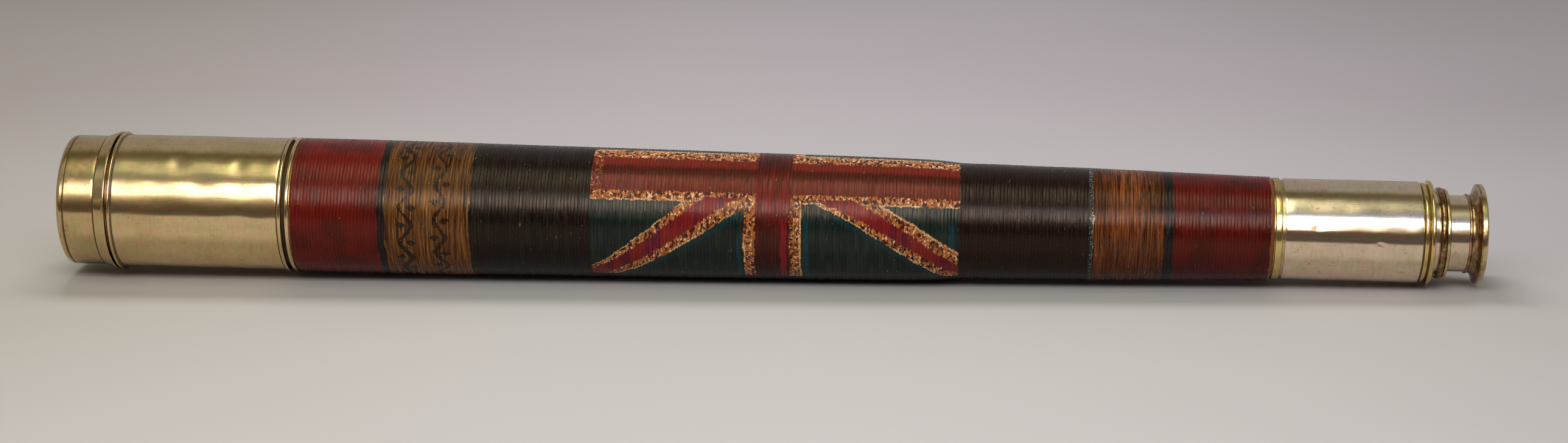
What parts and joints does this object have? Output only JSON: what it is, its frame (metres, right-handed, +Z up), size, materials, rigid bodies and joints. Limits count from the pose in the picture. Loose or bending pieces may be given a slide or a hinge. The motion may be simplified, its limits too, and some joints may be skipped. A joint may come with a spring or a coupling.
{
  "type": "spyglass",
  "caption": "Large single-draw ship's spyglass: tapered, painted twine-bound barrel with brass cap, sliding sunshade, eye-end sleeve, draw tube and flared eyecup.",
  "frame": {"origin": "on the optical axis, midway between the lens cap's face and the eyecup's rim", "axes": "+X along the optical axis from the objective to the eyepiece, +Z up, -Y towards the side shown in the picture"},
  "size_m": [0.7042, 0.0694, 0.0694],
  "materials": {
    "polished_brass": "polished and lightly tarnished",
    "drawn_brass": "drawn, dull where unpolished",
    "blackened_brass": "lamp-black lacquer",
    "spacer_foil": "dull foil",
    "lens_glass": "polished",
    "cap_lining_leather": "thin suede",
    "green_felt": "felt",
    "painted_twine": "twine under thick, worn, varnished paint"
  },
  "bodies": {
    "barrel": {"objective_cell": "drawn_brass", "objective_crown_lens": "lens_glass", "objective_spacer": "spacer_foil", "objective_flint_lens": "lens_glass", "objective_retaining_ring": "blackened_brass", "front_sleeve": "drawn_brass", "front_ferrule": "polished_brass", "barrel_tube": "drawn_brass", "barrel_stop_front": "blackened_brass", "barrel_stop_rear": "blackened_brass", "binding": "painted_twine", "rear_ferrule": "polished_brass", "eye_end_socket": "drawn_brass", "eye_end_sleeve": "polished_brass", "eye_end_collar": "polished_brass", "stop_shoulder": "drawn_brass", "draw_guide": "drawn_brass"},
    "sunshade": {"sunshade_tube": "polished_brass", "sunshade_front_ring": "polished_brass", "sunshade_rear_ring": "polished_brass", "sunshade_felt_band": "green_felt"},
    "lens_cap": {"lens_cap_shell": "polished_brass", "lens_cap_lining": "cap_lining_leather"},
    "draw": {"draw_tube": "drawn_brass", "draw_stop_ring": "drawn_brass", "draw_end_ring": "polished_brass", "erector_tube": "drawn_brass", "erector_lens_front": "lens_glass", "erector_ring_front": "drawn_brass", "erector_stop": "blackened_brass", "erector_lens_rear": "lens_glass", "erector_ring_rear": "drawn_brass", "eyepiece_tube": "drawn_brass", "field_lens": "lens_glass", "field_lens_ring": "drawn_brass", "field_stop": "blackened_brass", "eye_lens": "lens_glass", "eye_lens_ring": "drawn_brass", "eyecup": "polished_brass", "shutter_pivot_screw": "polished_brass"},
    "shutter": {"shutter_leaf": "polished_brass", "shutter_knob": "polished_brass"}
  },
  "joints": [
    {"name": "draw_slide", "type": "slide", "parent": "barrel", "child": "draw", "axis": [1, 0, 0], "range_m": [-0.002, 0.27]},
    {"name": "sunshade_slide", "type": "slide", "parent": "barrel", "child": "sunshade", "axis": [-1, 0, 0], "range_m": [-0.0012, 0.056]},
    {"name": "cap_pull", "type": "slide", "parent": "sunshade", "child": "lens_cap", "axis": [-1, 0, 0], "range_m": [-0.001, 0.045]},
    {"name": "shutter_swivel", "type": "hinge", "parent": "draw", "child": "shutter", "pos_m": [0.34545, 0, 0.009], "axis": [1, 0, 0], "range_deg": [0, 60]}
  ]
}
